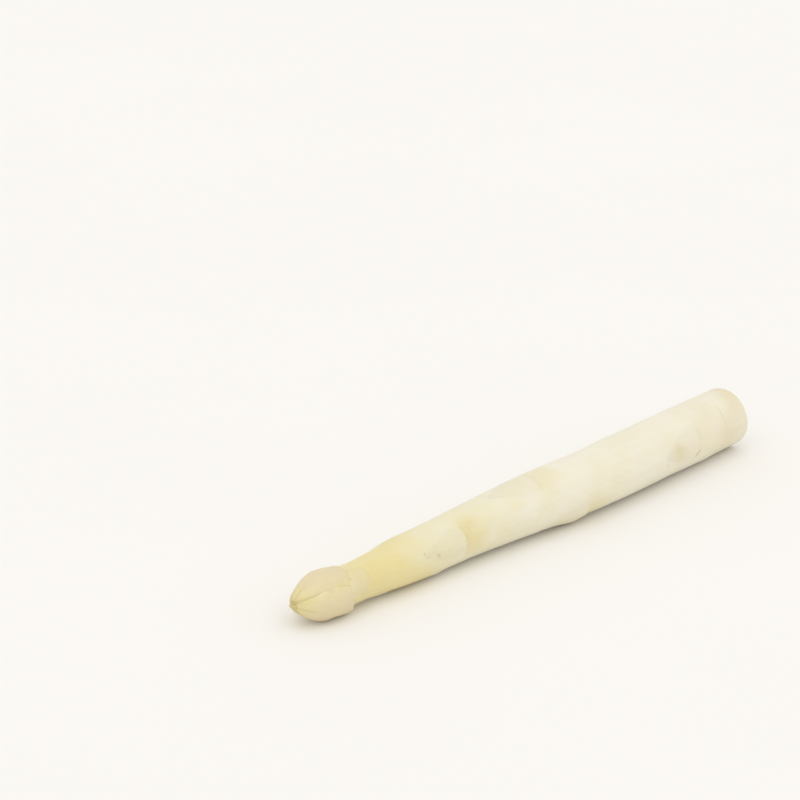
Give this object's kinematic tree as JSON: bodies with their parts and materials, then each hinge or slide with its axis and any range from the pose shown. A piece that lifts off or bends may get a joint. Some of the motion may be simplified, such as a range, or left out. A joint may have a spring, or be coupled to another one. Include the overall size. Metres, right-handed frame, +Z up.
{
  "type": "white asparagus",
  "caption": "White asparagus spear lying on its side, with a closed bud of overlapping scales, scale leaves along the stem and a cut end.",
  "frame": {"origin": "centre of the bounding box on the surface that the spear lies on", "axes": "+X along the spear from the bud to the cut end, +Y across it towards its back, +Z up from the surface"},
  "size_m": [0.22, 0.0256, 0.0223],
  "materials": {
    "stem_flesh": "smooth waxy ivory plant skin with fine lengthwise fibres, yellower towards the bud",
    "stem_scale": "thin papery ivory scale leaf with fine veins",
    "bud_scale": "smooth waxy pale yellow scale leaf with translucent edges"
  },
  "bodies": {
    "root": {"stem": "stem_flesh", "stem_scale_1": "stem_scale", "stem_scale_2": "stem_scale", "stem_scale_3": "stem_scale", "stem_scale_4": "stem_scale", "stem_scale_5": "stem_scale", "stem_scale_6": "stem_scale", "stem_scale_7": "stem_scale", "stem_scale_8": "stem_scale", "stem_scale_9": "stem_scale", "bud_scale_1": "bud_scale", "bud_scale_2": "bud_scale", "bud_scale_3": "bud_scale", "bud_scale_4": "bud_scale", "bud_scale_5": "bud_scale", "bud_scale_6": "bud_scale"}
  },
  "joints": []
}
